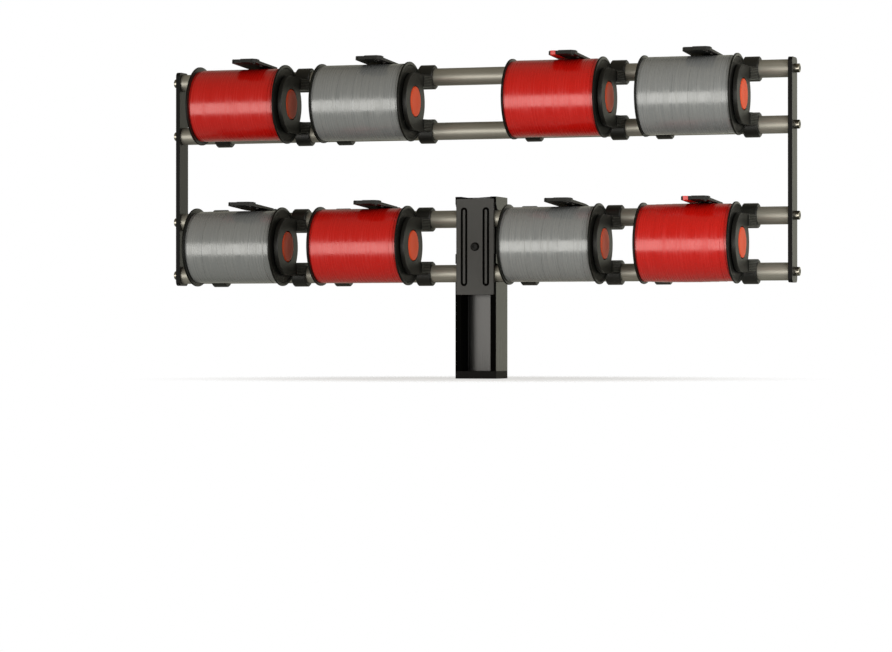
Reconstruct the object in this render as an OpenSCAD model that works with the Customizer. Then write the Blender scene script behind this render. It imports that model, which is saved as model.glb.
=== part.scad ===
/* [Rack] */
// Length of the rack over its end plates
rack_length = 734; // [640:2:820]
// Diameter of the four tubes
tube_d = 20; // [18:0.5:21]
// Distance between the two tubes of a pair
pair_spacing = 62; // [60:1:66]
// Height of the lower pair's middle above the foot
lower_row_height = 150.5; // [130:0.5:200]
// Distance between the two rows of spools
row_spacing = 162.5; // [155:0.5:200]
// Thickness of the end plates
end_plate_t = 5; // [4:0.5:8]
// Depth of the end plates, front to back
end_plate_d = 25; // [23:1:32]

/* [Post] */
// Width of the post
post_w = 48.5; // [44:0.5:56]
// Depth of the post, front to back
post_d = 43; // [40:1:55]
// Thickness of the foot block under the post
foot_t = 8.5; // [7:0.5:14]
// Height of the front clamp plate
clamp_plate_h = 109; // [104:1:120]

/* [Spools] */
// Diameter of a spool's flanges
flange_d = 90; // [84:1:92]
// Length of a spool over its flanges
spool_length = 107; // [100:1:110]
// Height of the flange rims above the ribbon of a full spool
rim_height = 2.6; // [2.6:0.2:8]
// Width of the ribbon
ribbon_w = 9.3; // [8:0.1:10]

/* [Holders] */
// Diameter of the spindle that carries a spool
spindle_d = 41; // [39:0.5:44]
// Diameter of the push button
button_d = 34.5; // [31:0.5:35]
// Travel of the push button
button_travel = 4; // [2.5:0.5:5]
// Diameter of the cheek beside the spool
cheek_d = 65; // [58:1:68]
// Length of the collars that hold the tubes
collar_length = 17.5; // [15:0.5:22]

/* [Cutters] */
// Width of the ribbon cutter
cutter_w = 32; // [29:0.5:34]
// Reach of the cutter in front of the tubes
cutter_reach = 88; // [84:1:94]
// Rise of the cutter towards its front edge, in degrees
cutter_tilt = 3.2; // [2.8:0.1:5]

/* [Hidden] */
node = "all";
round_fn = 64;
small_fn = 32;
over = 1;

// Middles of the spools, upper row and then lower row, as shares of the rack's length from its middle
top_shares = [-0.3629, -0.1589, 0.1505, 0.3583];
bottom_shares = [-0.3691, -0.1625, 0.1432, 0.3559];
station_count = len(top_shares) + len(bottom_shares);
reds = [true, false, true, false, false, true, false, true];
// How much of each spool's ribbon is used up, as a share of a full winding's thickness
used_shares = [0.1, 0, 0, 0, 0.1, 0.04, 0.06, 0.02];
// How far each winding swells at its middle, as a share of that thickness
bulge_shares = [0, 0, 0, 0, 0.015, 0, 0, 0.04];
// Stations whose ribbon end stands in the cutter's notch
threaded = [2, 7];

seat_gap = 0.05;
running_gap = 0.08;
free_gap = 0.35;
spool_clearance = 1.5;

tube_r = tube_d / 2;
tube_wall = 1.5;
post_front = -post_d / 2;
tube_y = post_front + tube_r + seat_gap;
upper_row_height = lower_row_height + row_spacing;
row_heights = [upper_row_height, lower_row_height];
half_pair = pair_spacing / 2;
tube_length = rack_length - 2 * end_plate_t;
tube_heights = [
    upper_row_height + half_pair,
    upper_row_height - half_pair,
    lower_row_height + half_pair,
    lower_row_height - half_pair
];

end_margin = 12.25;
end_corner_r = 5;
end_plate_h = tube_heights[0] - tube_heights[3] + 2 * end_margin;
end_plate_z = (tube_heights[0] + tube_heights[3]) / 2;

bolt_r = 3;
bolt_gap = 0.2;
cap_head_r = 5;
cap_head_h = 6;
socket_r = 2.9;
socket_depth = 3;
bolt_reach = 14;
plug_length = 22;

groove_w_share = 0.72;
groove_d_share = 0.605;
groove_w = post_w * groove_w_share;
groove_d = post_d * groove_d_share;
groove_floor = post_front + groove_d;
chamber_wall = 2.5;
chamber_d = post_d - groove_d - 2 * chamber_wall;
chamber_w = post_w - 2 * chamber_wall;
nose_rise = 25;
post_top = tube_heights[2] + nose_rise;
lead_in_front = 18.4;
lead_in_back = 11;
lead_in_depth = 14.3;
relief_depth = 5.4;
step_h = 11;
notch_play = 1;
notch_floor_shares = [0.8, 0.7];

clamp_plate_t = 3;
clamp_plate_inset = 1.9;
clamp_drop = 0.9;
clamp_z = lower_row_height - clamp_drop;
clamp_plate_w = post_w - 2 * clamp_plate_inset;
clamp_corner_r = 1.5;
bead_x = 13;
bead_w = 7.6;
bead_l = 89;
bead_line = 2.3;
bead_depth = 1.4;
clamp_block_h = 30;
dome_r = 4.9;
dome_h = 2.8;
dome_rise_shares = [0.35, 0.8];
dome_width_shares = [0.75, 0.5];
dome_socket_shares = [0.65, 0.45];

spigot_h = 26;
spigot_gap = 0.2;
foot_bolt_r = 2.5;
foot_bolt_depth = 14;
foot_bolt_x = 30;
foot_bolt_y = 24;
foot_screw_rise = 15;
foot_screw_z = foot_t + foot_screw_rise;
foot_screw_x = 24;
foot_screw_reach = 9;

flange_r = flange_d / 2;
flange_t = 2;
flange_dish = 0.6;
flange_rim = 4;
edge_break = 0.5;
spindle_r = spindle_d / 2;
bore_r = spindle_r + running_gap;
barrel_wall = 2.4;
barrel_r = bore_r + barrel_wall;
wound_length = spool_length - 2 * flange_t;
spool_half = spool_length / 2;

collar_wall = 3.9;
collar_r = tube_r + collar_wall;
collar_bore_r = tube_r + seat_gap;
axis_distance = flange_r + spool_clearance + collar_r;
reach = sqrt(pow(axis_distance, 2) - pow(half_pair, 2));
right_collar_out = 3;
left_collar_in = 9.7;
right_collar_x = spool_half + right_collar_out;
left_collar_x = -spool_half + left_collar_in;
cheek_r = cheek_d / 2;
cheek_t = 5;
cheek_x = spool_half + spool_clearance / 3;
cheek_face = cheek_x + cheek_t;
arm_inset = 1.3;
arm_inner = half_pair - collar_r + arm_inset;
arm_knee_share = 2;
arm_toe_share = 0.8;
arm_root_y = -reach + sqrt(pow(flange_r + spool_clearance, 2) - pow(arm_inner, 2));
back_plate_t = 4;
back_plate_y = -reach + flange_r + spool_clearance;
back_plate_left = left_collar_x - collar_length / 2;
back_plate_lap = 2;
back_plate_right = right_collar_x - collar_length / 2 + back_plate_lap;
back_window_w = 24;
back_window_h_share = 0.6;
back_window_r = 4;

button_r = button_d / 2;
button_gap = 0.8;
button_bore_r = button_r + button_gap;
button_head_t = 3.5;
button_proud = 1.5;
button_crown = 0.5;
web_t = 3;
web_x = cheek_face + button_proud - button_head_t - button_travel - free_gap - web_t;
rod_r = 3.5;
rod_gap = 0.5;
lip_rise = 0.7;
lip_length = 2.4;
lip_gap = 0.4;
spindle_end = -spool_half - lip_gap - lip_length;
finger_slot_w = 5;
finger_length = 24;
plug_disc_t = 6;
plug_disc_wall = 2;
plug_disc_r = button_bore_r - free_gap;

boss_r = 4.6;
boss_out = 5;
boss_back = collar_r + boss_out;
grip_r = 2;
grip_head_r = 3.5;
grip_head_h = 3;
grip_socket_r = 1.6;
grip_socket_depth = 1.8;

cutter_t = 4;
cutter_left = -3;
cutter_rear = 20;
cutter_lift = 0.6;
cutter_lip = 12;
cutter_step = 1.4;
clip_inset = 5;
neck_inset = clip_inset + edge_break;
clip_l = cutter_w - 2 * clip_inset;
clip_cover = 1.3;
clip_r = tube_r + cutter_lift + cutter_t - cutter_step + clip_cover;
cutter_corner = 8;
ribbon_play = 0.6;
notch_w = ribbon_w + ribbon_play;
notch_d = 3.5;
ribbon_seat_share = 0.6;
prong_w = 3.4;
blade_w = 8;
blade_t = 0.6;
blade_l = 27;
blade_front = 2;
tooth_pitch = 1.8;
tooth_h = 1.2;
blade_screw_inset = 3;
blade_screw_r = 1.9;
blade_screw_h = 1.3;
blade_shank_r = 0.9;
blade_shank_l = 2.6;

ring_count = 14;
tape_gap = 0.5;
tape_t = 1.2;
tape_pitch = ribbon_w + tape_gap;
tape_span = wound_length - ribbon_w - 2 * tape_gap;
tape_turns = tape_span / tape_pitch;
tape_rings = floor(tape_turns * ring_count);
flat_share = cos(180 / ring_count);
full_r = flange_r - rim_height;
full_winding = full_r - barrel_r;
core_steps = 12;
slope_share = PI * ribbon_w / (2 * wound_length);
end_t = 0.4;
end_rise = 1.2;

function row_of(k) = k < len(top_shares) ? 0 : 1;
function column_of(k) = k - row_of(k) * len(top_shares);
function station_x(k) = rack_length * (row_of(k) == 0 ? top_shares : bottom_shares)[column_of(k)];
function label(k) = str(row_of(k) == 0 ? "top_" : "bottom_", column_of(k) + 1);
function names(stem) = [for (k = [0 : station_count - 1]) str(stem, "_", label(k))];
function tape_r(k) = 2 * (full_r - used_shares[k] * full_winding) / (1 + flat_share);
function core_r(k) = (tape_r(k) - tape_t) * flat_share - seat_gap;
function bulge(k) = bulge_shares[k] * full_winding;
function swell(k, x) = bulge(k) * cos(180 * x / wound_length);

frame_nodes = [
    "foot_block", "post", "clamp_plate", "clamp_block", "clamp_screw", "foot_screws",
    "end_plate_left", "end_plate_right",
    "tube_1", "tube_2", "tube_3", "tube_4", "tube_plugs", "end_screws",
    "holder_screws", "cutter_blades", "blade_screws"
];
NODES = concat(
    frame_nodes, names("holder"), names("spool"), names("ribbon"), names("button"), names("cutter"),
    [for (k = threaded) str("ribbon_end_", label(k))]
);

// Places a station's own frame: X along the spool, Y = 0 at the tubes, Z = 0 midway between them
module at_station(k) {
    translate([station_x(k), tube_y, row_heights[row_of(k)]]) children();
}

module along_x(length, radius, fn) {
    rotate([0, 90, 0]) cylinder(h = length, r = radius, $fn = fn);
}

module along_y(length, radius, fn) {
    rotate([-90, 0, 0]) cylinder(h = length, r = radius, $fn = fn);
}

// Turns a profile of [distance along X, radius] points round the X axis
module turned(points) {
    rotate([0, 90, 0]) rotate_extrude($fn = round_fn) polygon([for (p = points) [p[1], p[0]]]);
}

module rounded_outline(width, height, radius) {
    square([width - 2 * radius, height], center = true);
    square([width, height - 2 * radius], center = true);
    for (sx = [-1, 1])
        for (sy = [-1, 1])
            translate([sx * (width / 2 - radius), sy * (height / 2 - radius)])
                circle(r = radius, $fn = small_fn);
}

// Extrudes a [Y, Z] outline along X, from 0
module slab_x(length) {
    rotate([90, 0, 90]) linear_extrude(height = length) children();
}

module cap_screw(shank_l, shank_radius, head_radius, head_height, hex_r, hex_depth) {
    along_x(shank_l, shank_radius, small_fn);
    difference() {
        translate([-head_height, 0, 0]) along_x(head_height, head_radius, small_fn);
        translate([-head_height - over, 0, 0]) along_x(hex_depth + over, hex_r, 6);
    }
}

// The post: an extrusion with a groove in front, a closed chamber behind, and notches for two tubes
module notch_outline(front_rise, back_rise) {
    circle(r = tube_r + seat_gap, $fn = round_fn);
    polygon([
        [post_front - tube_y - over, -tube_r - seat_gap],
        [0, -tube_r - seat_gap],
        [tube_r * notch_floor_shares[0], 0],
        [tube_r * notch_floor_shares[1], tube_r * notch_floor_shares[1]],
        [post_front - tube_y + lead_in_depth - tube_r, back_rise],
        [post_front - tube_y - over, front_rise]
    ]);
}

module post() {
    color("#1b1b1c") difference() {
        translate([-post_w / 2, post_front, foot_t]) cube([post_w, post_d, post_top - foot_t]);
        translate([-groove_w / 2, post_front - over, foot_t - over])
            cube([groove_w, groove_d + over, post_top - foot_t + 2 * over]);
        translate([-chamber_w / 2, groove_floor + chamber_wall, foot_t - over])
            cube([chamber_w, chamber_d, post_top - foot_t + 2 * over]);
        translate([-post_w / 2 - over, tube_y, tube_heights[2]])
            slab_x(post_w + 2 * over) notch_outline(lead_in_front, lead_in_back);
        translate([-post_w / 2 - over, tube_y, tube_heights[3]])
            slab_x(post_w + 2 * over) notch_outline(tube_r + notch_play, tube_r + notch_play);
        translate([-post_w / 2 - over, post_front - over, tube_heights[3] + tube_r + notch_play + step_h])
            cube([
                post_w + 2 * over,
                relief_depth + over,
                pair_spacing - 2 * tube_r - notch_play - step_h
            ]);
        for (x = [-foot_screw_x / 2, foot_screw_x / 2])
            translate([x, post_d / 2 - chamber_wall - over, foot_screw_z])
                along_y(chamber_wall + 2 * over, bolt_r + bolt_gap, small_fn);
    }
}

module foot_block() {
    color("#161617") difference() {
        union() {
            translate([-post_w / 2, post_front, 0]) cube([post_w, post_d, foot_t]);
            translate([-chamber_w / 2 + spigot_gap, groove_floor + chamber_wall + spigot_gap, foot_t])
                cube([chamber_w - 2 * spigot_gap, chamber_d - 2 * spigot_gap, spigot_h]);
        }
        for (x = [-foot_bolt_x / 2, foot_bolt_x / 2])
            for (y = [-foot_bolt_y / 2, foot_bolt_y / 2])
                translate([x, y, -over])
                    cylinder(h = foot_bolt_depth + over, r = foot_bolt_r, $fn = small_fn);
        for (x = [-foot_screw_x / 2, foot_screw_x / 2])
            translate([x, groove_floor + chamber_wall - over, foot_screw_z])
                along_y(post_d, bolt_r + seat_gap, small_fn);
    }
}

module foot_screws() {
    color("#8d8f92") for (x = [-foot_screw_x / 2, foot_screw_x / 2])
        translate([x, post_d / 2, foot_screw_z])
            rotate([0, 0, -90])
                cap_screw(foot_screw_reach, bolt_r, cap_head_r, cap_head_h / 2, socket_r, socket_depth / 2);
}

module bead(depth) {
    linear_extrude(height = depth) difference() {
        rounded_outline(bead_w, bead_l, bead_w / 2 - seat_gap);
        rounded_outline(bead_w - 2 * bead_line, bead_l - 2 * bead_line, bead_w / 2 - bead_line - seat_gap);
    }
}

module clamp_plate() {
    color("#3a3b3c") translate([0, post_front, clamp_z]) rotate([90, 0, 0]) difference() {
        linear_extrude(height = clamp_plate_t)
            rounded_outline(clamp_plate_w, clamp_plate_h, clamp_corner_r);
        for (x = [-bead_x, bead_x])
            translate([x, 0, clamp_plate_t - bead_depth]) bead(bead_depth + over);
        translate([0, 0, -over])
            cylinder(h = clamp_plate_t + 2 * over, r = bolt_r + bolt_gap, $fn = small_fn);
    }
}

module clamp_block() {
    color("#2a2a2b") difference() {
        translate([-groove_w / 2 + seat_gap, post_front, clamp_z - clamp_block_h / 2])
            cube([groove_w - 2 * seat_gap, groove_d - seat_gap, clamp_block_h]);
        translate([0, post_front - over, clamp_z])
            along_y(bolt_reach + 2 * over, bolt_r + seat_gap, small_fn);
    }
}

module clamp_screw() {
    color("#151515") translate([0, post_front - clamp_plate_t, clamp_z]) rotate([0, 0, 90]) {
        along_x(bolt_reach, bolt_r, small_fn);
        difference() {
            turned([
                [0, 0],
                [0, dome_r],
                [-dome_h * dome_rise_shares[0], dome_r],
                [-dome_h * dome_rise_shares[1], dome_r * dome_width_shares[0]],
                [-dome_h, dome_r * dome_width_shares[1]],
                [-dome_h, 0]
            ]);
            translate([-dome_h - over, 0, 0])
                along_x(dome_h * dome_socket_shares[0] + over, dome_r * dome_socket_shares[1], 6);
        }
    }
}

// The frame's tubes, end plates, plugs and screws
module end_plate(x) {
    color("#1a1a1b") translate([x, tube_y, 0]) difference() {
        translate([0, 0, end_plate_z])
            slab_x(end_plate_t) rounded_outline(end_plate_d, end_plate_h, end_corner_r);
        for (z = tube_heights)
            translate([-over, 0, z]) along_x(end_plate_t + 2 * over, bolt_r + bolt_gap, small_fn);
    }
}

module tube(k) {
    color("#b4b6b8") translate([-tube_length / 2, tube_y, tube_heights[k]]) difference() {
        along_x(tube_length, tube_r, round_fn);
        translate([-over, 0, 0]) along_x(tube_length + 2 * over, tube_r - tube_wall, round_fn);
    }
}

module at_tube_ends() {
    for (z = tube_heights)
        for (side = [0, 1])
            mirror([side, 0, 0]) translate([-tube_length / 2, tube_y, z]) children();
}

module tube_plugs() {
    color("#6d6f72") at_tube_ends() difference() {
        along_x(plug_length, tube_r - tube_wall - seat_gap, small_fn);
        translate([-over, 0, 0]) along_x(plug_length + 2 * over, bolt_r + seat_gap, small_fn);
    }
}

module end_screws() {
    color("#c9cbce") at_tube_ends() translate([-end_plate_t, 0, 0])
        cap_screw(bolt_reach, bolt_r, cap_head_r, cap_head_h, socket_r, socket_depth);
}

// The holder: four collars, a back plate, two arms, a cheek and a split spindle with a catch lip
module spindle() {
    translate([0, -reach, 0]) turned([
        [cheek_face - edge_break, 0],
        [cheek_face, edge_break],
        [cheek_face, cheek_r - edge_break],
        [cheek_face - edge_break, cheek_r],
        [cheek_x + edge_break, cheek_r],
        [cheek_x, cheek_r - edge_break],
        [cheek_x, spindle_r],
        [-spool_half - lip_gap, spindle_r],
        [-spool_half - lip_gap - edge_break, spindle_r + lip_rise],
        [-spool_half - lip_gap - lip_length / 2, spindle_r + lip_rise],
        [spindle_end, spindle_r - edge_break],
        [spindle_end, 0]
    ]);
}

module spindle_hollow() {
    translate([0, -reach, 0]) {
        translate([web_x + web_t, 0, 0]) along_x(cheek_face - web_x, button_bore_r, round_fn);
        translate([spindle_end - over, 0, 0])
            along_x(web_x - spindle_end + over, button_bore_r, round_fn);
        translate([web_x - over, 0, 0]) along_x(web_t + 2 * over, rod_r + rod_gap, small_fn);
        for (turn = [0, 90])
            rotate([turn, 0, 0]) translate([spindle_end - over, -finger_slot_w / 2, -flange_r])
                cube([finger_length + over, finger_slot_w, 2 * flange_r]);
    }
}

module arm() {
    translate([0, 0, arm_inner]) linear_extrude(height = cheek_r - arm_inner) polygon([
        [cheek_x, -reach],
        [cheek_face, -reach],
        [cheek_face, -collar_r * arm_knee_share],
        [right_collar_x + collar_length / 2, -collar_r * arm_toe_share],
        [right_collar_x + collar_length / 2, 0],
        [back_plate_right - back_plate_lap, 0],
        [back_plate_right - back_plate_lap, arm_root_y],
        [cheek_x, arm_root_y]
    ]);
}

module collar(x) {
    translate([x - collar_length / 2, 0, half_pair]) turned([
        [0, 0],
        [0, collar_r - edge_break * 2],
        [edge_break * 2, collar_r],
        [collar_length - edge_break * 2, collar_r],
        [collar_length, collar_r - edge_break * 2],
        [collar_length, 0]
    ]);
}

module back_plate() {
    plate_h = pair_spacing - 2 * tube_r;
    plate_l = back_plate_right - back_plate_left;
    translate([(back_plate_left + back_plate_right) / 2, back_plate_y + back_plate_t, 0])
        rotate([90, 0, 0]) linear_extrude(height = back_plate_t) difference() {
            square([plate_l, plate_h], center = true);
            for (x = [-plate_l / 4, plate_l / 4])
                translate([x, 0])
                    rounded_outline(back_window_w, plate_h * back_window_h_share, back_window_r);
        }
}

module holder(k) {
    color("#1d1d1e") at_station(k) difference() {
        union() {
            back_plate();
            spindle();
            for (side = [0, 1])
                mirror([0, 0, side]) {
                    arm();
                    collar(left_collar_x);
                    collar(right_collar_x);
                    translate([right_collar_x, 0, half_pair]) along_y(boss_back, boss_r, small_fn);
                }
        }
        spindle_hollow();
        translate([cutter_left + clip_inset - free_gap, 0, half_pair])
            along_x(clip_l + 2 * free_gap, clip_r + free_gap, round_fn);
        for (side = [-1, 1]) {
            translate([back_plate_left - over, 0, side * half_pair])
                along_x(rack_length, collar_bore_r, round_fn);
            translate([right_collar_x, 0, side * half_pair])
                along_y(boss_back + over, grip_r + seat_gap, small_fn);
        }
    }
}

module holder_screws() {
    color("#77797c") for (k = [0 : station_count - 1])
        at_station(k) for (side = [-1, 1])
            translate([right_collar_x, boss_back, side * half_pair]) rotate([0, 0, -90])
                cap_screw(
                    boss_back - tube_r - seat_gap, grip_r, grip_head_r,
                    grip_head_h, grip_socket_r, grip_socket_depth
                );
}

// The push button: its head, its rod through the spindle, and the plug that spreads the catch lip
module button(k) {
    head_face = cheek_face + button_proud;
    color("#b5271c") at_station(k) translate([0, -reach, 0]) {
        turned([
            [head_face, 0],
            [head_face, button_r - button_crown * 3],
            [head_face - button_crown, button_r],
            [head_face - button_head_t, button_r],
            [head_face - button_head_t, rod_r],
            [spindle_end + button_travel + plug_disc_t, rod_r],
            [spindle_end + button_travel + plug_disc_t - plug_disc_wall, plug_disc_r],
            [spindle_end + button_travel + free_gap, plug_disc_r],
            [spindle_end + button_travel + free_gap, plug_disc_r - plug_disc_wall],
            [spindle_end + button_travel + plug_disc_wall, rod_r],
            [spindle_end + button_travel + plug_disc_wall, 0]
        ]);
    }
}

// The spool: a barrel with two dished flanges
module spool(k) {
    color("#141415") at_station(k) translate([0, -reach, 0]) turned(concat(
        flange_points(1),
        [for (i = [6 : -1 : 0]) flange_points(-1)[i]]
    ));
}

function flange_points(side) = [
    [side * (spool_half - flange_dish), bore_r],
    [side * (spool_half - flange_dish), flange_r - flange_rim],
    [side * spool_half, flange_r - flange_rim + flange_dish],
    [side * spool_half, flange_r - edge_break],
    [side * (spool_half - flange_t / 2), flange_r],
    [side * wound_length / 2, flange_r - edge_break],
    [side * wound_length / 2, barrel_r]
];

// The wound ribbon: a plain core, and an outer layer that is one flat tape wound in a helix
module ribbon_core(k) {
    half = wound_length / 2 - seat_gap;
    turned(concat(
        [[half, barrel_r + seat_gap], [-half, barrel_r + seat_gap]],
        [
            for (i = [0 : core_steps])
                let (x = -half + 2 * half * i / core_steps)
                [x, core_r(k) + swell(k, x) - bulge(k) * slope_share]
        ]
    ));
}

function tape_corner(k, ring, corner) =
    let (
        angle = 360 * ring / ring_count,
        middle = -tape_span / 2 + tape_pitch * ring / ring_count,
        x = middle + (corner == 0 || corner == 3 ? -ribbon_w / 2 : ribbon_w / 2),
        r = tape_r(k) + swell(k, middle) - (corner < 2 ? tape_t : 0)
    )
    [x, r * sin(angle), r * cos(angle)];

module tape(k) {
    points = [
        for (ring = [0 : tape_rings])
            for (corner = [0 : 3])
                tape_corner(k, ring, corner)
    ];
    sides = [
        for (ring = [0 : tape_rings - 1])
            for (corner = [0 : 3])
                let (
                    a = ring * 4 + corner,
                    b = ring * 4 + (corner + 1) % 4,
                    c = b + 4,
                    d = a + 4
                )
                each [[a, b, c], [a, c, d]]
    ];
    last = tape_rings * 4;
    caps = [
        [0, 2, 1], [0, 3, 2],
        [last, last + 1, last + 2], [last, last + 2, last + 3]
    ];
    polyhedron(points = points, faces = concat(sides, caps));
}

module ribbon(k) {
    color(reds[k] ? "#b3221c" : "#8f8d8a") at_station(k) translate([0, -reach, 0]) {
        ribbon_core(k);
        tape(k);
    }
}

// The least gap from one turn of the tape to the next, measured on its corners
tape_gaps = [
    for (k = [0 : station_count - 1])
        for (ring = [0 : tape_rings - ring_count])
            norm(tape_corner(k, ring, 2) - tape_corner(k, ring + ring_count, 3))
];
echo(least_gap_between_turns = min(tape_gaps), turns = tape_rings / ring_count);

// The cutter: a clip on the upper tube, a plate with a thicker notched lip, and a toothed blade below
module on_cutter_plate() {
    translate([0, 0, half_pair + tube_r + cutter_lift]) rotate([-cutter_tilt, 0, 0]) children();
}

module cutter_outline() {
    right = cutter_left + cutter_w;
    difference() {
        polygon([
            [cutter_left, -cutter_rear - neck_inset],
            [cutter_left, -cutter_reach + cutter_corner],
            [cutter_left + prong_w, -cutter_reach + cutter_corner / 4],
            [cutter_left + prong_w + notch_w, -cutter_reach],
            [right - cutter_corner / 2, -cutter_reach],
            [right, -cutter_reach + cutter_corner / 2],
            [right, -cutter_rear],
            [right - neck_inset, -cutter_rear + neck_inset],
            [right - neck_inset, 0],
            [cutter_left + neck_inset, 0],
            [cutter_left + neck_inset, -cutter_rear + neck_inset]
        ]);
        translate([cutter_left + prong_w, -cutter_reach - over]) square([notch_w, notch_d + over]);
    }
}

module cutter(k) {
    color("#202021") at_station(k) difference() {
        union() {
            translate([cutter_left + clip_inset, 0, half_pair]) along_x(clip_l, clip_r, round_fn);
            on_cutter_plate() linear_extrude(height = cutter_t - cutter_step) cutter_outline();
            on_cutter_plate() linear_extrude(height = cutter_t) intersection() {
                cutter_outline();
                translate([cutter_left, -cutter_reach]) square([cutter_w, cutter_lip]);
            }
        }
        translate([cutter_left - over, 0, half_pair]) along_x(cutter_w + 2 * over, collar_bore_r, round_fn);
        on_blade_screws() translate([0, 0, -over]) cylinder(
            h = blade_shank_l + over + seat_gap, r = blade_shank_r + seat_gap, $fn = small_fn
        );
    }
}

module on_blade_screws() {
    on_cutter_plate() for (inset = [blade_screw_inset, blade_l - blade_screw_inset])
        translate([cutter_left + cutter_w - blade_w / 2, -cutter_reach + blade_front + inset, 0])
            children();
}

module cutter_blades() {
    teeth = floor(blade_l / tooth_pitch);
    right = cutter_left + cutter_w;
    front = -cutter_reach + blade_front;
    edge = [
        for (i = [0 : teeth - 1])
            each [
                [right, front + i * tooth_pitch],
                [right + tooth_h, front + (i + 0.5) * tooth_pitch]
            ]
    ];
    color("#2c2d2e") for (k = [0 : station_count - 1])
        at_station(k) difference() {
            on_cutter_plate() translate([0, 0, -blade_t]) linear_extrude(height = blade_t) polygon(concat(
                [[right - blade_w, front + blade_l], [right - blade_w, front]],
                edge,
                [[right, front + blade_l]]
            ));
            on_blade_screws() translate([0, 0, -blade_t - over])
                cylinder(h = blade_t + 2 * over, r = blade_shank_r + seat_gap, $fn = small_fn);
        }
}

module blade_screws() {
    color("#d5d7da") for (k = [0 : station_count - 1])
        at_station(k) on_blade_screws() {
            translate([0, 0, -blade_t])
                cylinder(h = blade_shank_l + blade_t, r = blade_shank_r, $fn = small_fn);
            translate([0, 0, -blade_t - blade_screw_h])
                cylinder(h = blade_screw_h, r = blade_screw_r, $fn = small_fn);
        }
}

// A loose ribbon end: off the top of the winding, under the cutter and up through its notch
module ribbon_end(k) {
    lift = tape_r(k) + bulge(k) + free_gap;
    notch_y = reach - cutter_reach * cos(cutter_tilt) + notch_d * ribbon_seat_share;
    notch_z = half_pair + tube_r + cutter_lift + cutter_reach * sin(cutter_tilt);
    top_z = notch_z + cutter_t + end_rise;
    far = norm([notch_y, notch_z]);
    start = atan2(notch_z, notch_y) - acos(lift / far);
    start_y = lift * cos(start);
    start_z = lift * sin(start);
    color("#b3221c") at_station(k) translate([cutter_left + prong_w + (notch_w - ribbon_w) / 2, -reach, 0])
        slab_x(ribbon_w) polygon([
            [start_y, start_z],
            [notch_y, notch_z - end_t * 2],
            [notch_y, top_z],
            [notch_y + end_t, top_z],
            [notch_y + end_t, notch_z - end_t],
            [start_y, start_z + end_t]
        ]);
}

function shown(name) = node == "all" || node == name;

if (shown("foot_block")) foot_block();
if (shown("post")) post();
if (shown("clamp_plate")) clamp_plate();
if (shown("clamp_block")) clamp_block();
if (shown("clamp_screw")) clamp_screw();
if (shown("foot_screws")) foot_screws();
if (shown("end_plate_left")) end_plate(-rack_length / 2);
if (shown("end_plate_right")) end_plate(rack_length / 2 - end_plate_t);
if (shown("tube_plugs")) tube_plugs();
if (shown("end_screws")) end_screws();
if (shown("holder_screws")) holder_screws();
if (shown("cutter_blades")) cutter_blades();
if (shown("blade_screws")) blade_screws();
for (t = [0 : 3])
    if (shown(str("tube_", t + 1))) tube(t);
for (k = [0 : station_count - 1]) {
    if (shown(str("holder_", label(k)))) holder(k);
    if (shown(str("spool_", label(k)))) spool(k);
    if (shown(str("ribbon_", label(k)))) ribbon(k);
    if (shown(str("button_", label(k)))) button(k);
    if (shown(str("cutter_", label(k)))) cutter(k);
}
for (k = threaded)
    if (shown(str("ribbon_end_", label(k)))) ribbon_end(k);
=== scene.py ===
import math

import bmesh
import bpy
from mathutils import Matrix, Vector


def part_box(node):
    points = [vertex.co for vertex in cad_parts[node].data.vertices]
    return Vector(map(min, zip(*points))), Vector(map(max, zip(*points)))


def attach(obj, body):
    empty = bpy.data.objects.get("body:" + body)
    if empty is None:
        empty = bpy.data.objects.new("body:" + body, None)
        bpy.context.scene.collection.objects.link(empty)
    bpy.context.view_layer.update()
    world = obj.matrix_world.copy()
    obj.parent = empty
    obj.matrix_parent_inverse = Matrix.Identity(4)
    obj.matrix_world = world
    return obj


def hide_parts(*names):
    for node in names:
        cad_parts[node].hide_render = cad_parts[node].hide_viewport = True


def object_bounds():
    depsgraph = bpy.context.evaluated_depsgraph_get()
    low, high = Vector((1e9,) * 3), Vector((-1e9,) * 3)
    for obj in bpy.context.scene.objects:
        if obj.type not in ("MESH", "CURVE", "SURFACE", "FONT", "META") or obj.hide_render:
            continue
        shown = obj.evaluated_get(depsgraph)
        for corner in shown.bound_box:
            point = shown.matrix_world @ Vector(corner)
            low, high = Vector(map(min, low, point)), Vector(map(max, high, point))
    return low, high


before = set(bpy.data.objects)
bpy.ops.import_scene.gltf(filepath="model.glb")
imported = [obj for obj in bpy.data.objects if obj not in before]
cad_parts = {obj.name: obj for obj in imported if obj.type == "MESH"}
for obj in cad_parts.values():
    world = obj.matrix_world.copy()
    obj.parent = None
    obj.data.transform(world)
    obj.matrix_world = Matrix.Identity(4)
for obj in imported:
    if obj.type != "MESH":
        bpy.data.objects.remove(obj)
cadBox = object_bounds()
print("frame loaded:", len(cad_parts), "nodes")

mm = 0.001
tiny = mm / 1000   # points nearer than this are one
labels = [row + str(i) for row in ("top_", "bottom_") for i in (1, 2, 3, 4)]
redSpools = ("top_1", "top_3", "bottom_2", "bottom_4")
tubes = ["tube_%d" % i for i in (1, 2, 3, 4)]
fixedBody = "rack"
white = (1, 1, 1, 1)


# Helpers: colours, nodes, meshes

def hexColour(code):
    channels = [int(code[i:i + 2], 16) / 255 for i in (1, 3, 5)]
    linear = [c / 12.92 if c <= 0.04045 else ((c + 0.055) / 1.055) ** 2.4 for c in channels]
    return (*linear, 1.0)


def perMetre(millimetres):
    return 1 / (millimetres * mm)   # a noise scale whose features are this wide


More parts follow.
